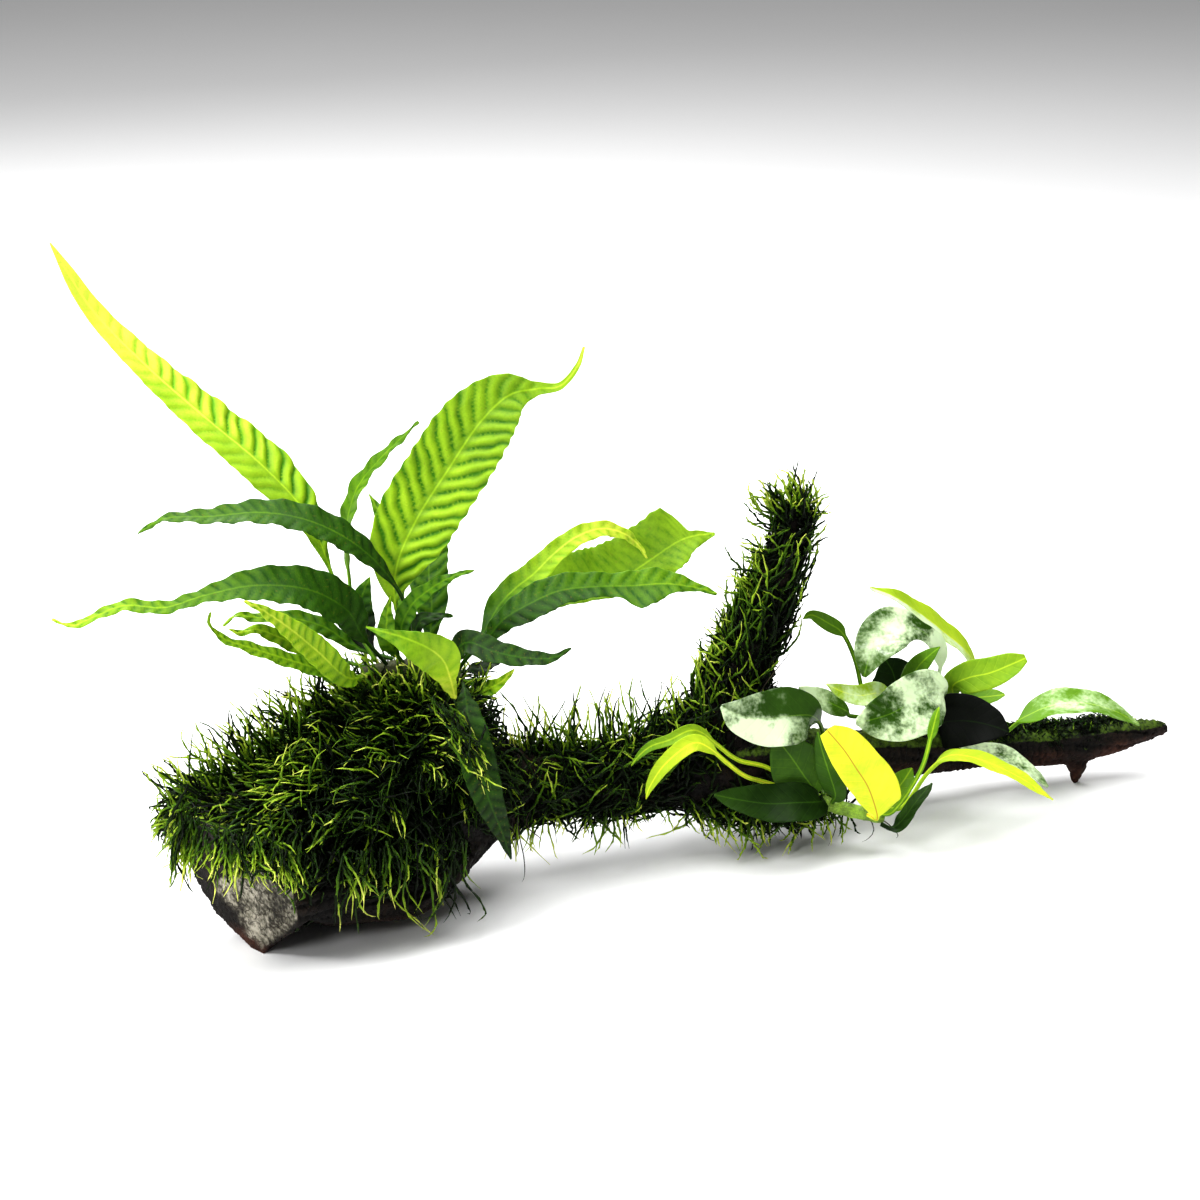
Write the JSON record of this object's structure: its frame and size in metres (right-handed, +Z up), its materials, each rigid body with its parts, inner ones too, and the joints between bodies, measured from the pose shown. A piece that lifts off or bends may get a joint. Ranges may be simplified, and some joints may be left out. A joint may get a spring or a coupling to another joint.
{
  "type": "java fern on driftwood",
  "caption": "Forked driftwood lying on its foot, carpeted with java moss, with a java fern on its thick end and broad-leaved anubias plants at its fork.",
  "frame": {"origin": "a point on the flat foot under the thick sawn end, about its middle, at the height of the ground it rests on", "axes": "+X along the wood from the sawn end towards the long branch's tip, +Y to the back, away from the side the picture shows, +Z up"},
  "size_m": [0.6346, 0.292, 0.3573],
  "materials": {
    "driftwood": "rough dark bark with a pale grey sawn end",
    "java_moss": "loose mat of feathery moss stems",
    "fern_rhizome": "matt scaly",
    "fern_frond": "ribbed and quilted, half matt",
    "anubias_rhizome": "smooth half matt",
    "anubias_leaf": "glossy"
  },
  "bodies": {
    "root": {"driftwood_trunk": "driftwood", "driftwood_long_branch": "driftwood", "driftwood_upright_branch": "driftwood", "fern_rhizome": "fern_rhizome", "anubias_rhizome_front": "anubias_rhizome", "anubias_rhizome_back": "anubias_rhizome", "moss_on_trunk": "java_moss", "moss_on_branch": "java_moss", "moss_on_upright_branch": "java_moss", "moss_under_fork": "java_moss", "moss_on_long_branch": "java_moss", "fern_frond_tall_left": "fern_frond", "fern_frond_middle_left": "fern_frond", "fern_frond_low_left": "fern_frond", "fern_frond_front_left": "fern_frond", "fern_frond_lowest_left": "fern_frond", "fern_frond_back_left": "fern_frond", "fern_frond_back_left_low": "fern_frond", "fern_frond_thin_upright": "fern_frond", "fern_frond_tall_right": "fern_frond", "fern_frond_back_curled": "fern_frond", "fern_frond_back_right": "fern_frond", "fern_frond_small_right": "fern_frond", "fern_frond_young_inner": "fern_frond", "fern_frond_drooping_front": "fern_frond", "fern_frond_dark_right": "fern_frond", "fern_frond_short_right": "fern_frond", "fern_frond_low_right": "fern_frond", "fern_frond_shaded_right": "fern_frond", "fern_frond_arching_right": "fern_frond", "fern_frond_broad_right": "fern_frond", "fern_frond_lower_right": "fern_frond", "fern_frond_on_moss": "fern_frond", "fern_frond_dark_inner": "fern_frond", "anubias_leaf_glossy": "anubias_leaf", "anubias_leaf_under_glossy": "anubias_leaf", "anubias_leaf_narrow_dark": "anubias_leaf", "anubias_leaf_bottom": "anubias_leaf", "anubias_leaf_yellow": "anubias_leaf", "anubias_leaf_spear": "anubias_leaf", "anubias_leaf_low_right": "anubias_leaf", "anubias_leaf_hanging": "anubias_leaf", "anubias_leaf_behind_yellow": "anubias_leaf", "anubias_leaf_curled_long": "anubias_leaf", "anubias_leaf_curled_short": "anubias_leaf", "anubias_leaf_veined": "anubias_leaf", "anubias_leaf_shaded": "anubias_leaf", "anubias_leaf_arching": "anubias_leaf", "anubias_leaf_upper_right": "anubias_leaf", "anubias_leaf_light_right": "anubias_leaf", "anubias_leaf_light_under": "anubias_leaf", "anubias_leaf_pale_right": "anubias_leaf", "anubias_leaf_behind_low_right": "anubias_leaf", "anubias_leaf_light_left": "anubias_leaf", "anubias_leaf_brown_bud": "anubias_leaf", "anubias_leaf_dark_behind": "anubias_leaf", "anubias_leaf_small_middle": "anubias_leaf", "anubias_leaf_pale_left": "anubias_leaf"}
  },
  "joints": []
}
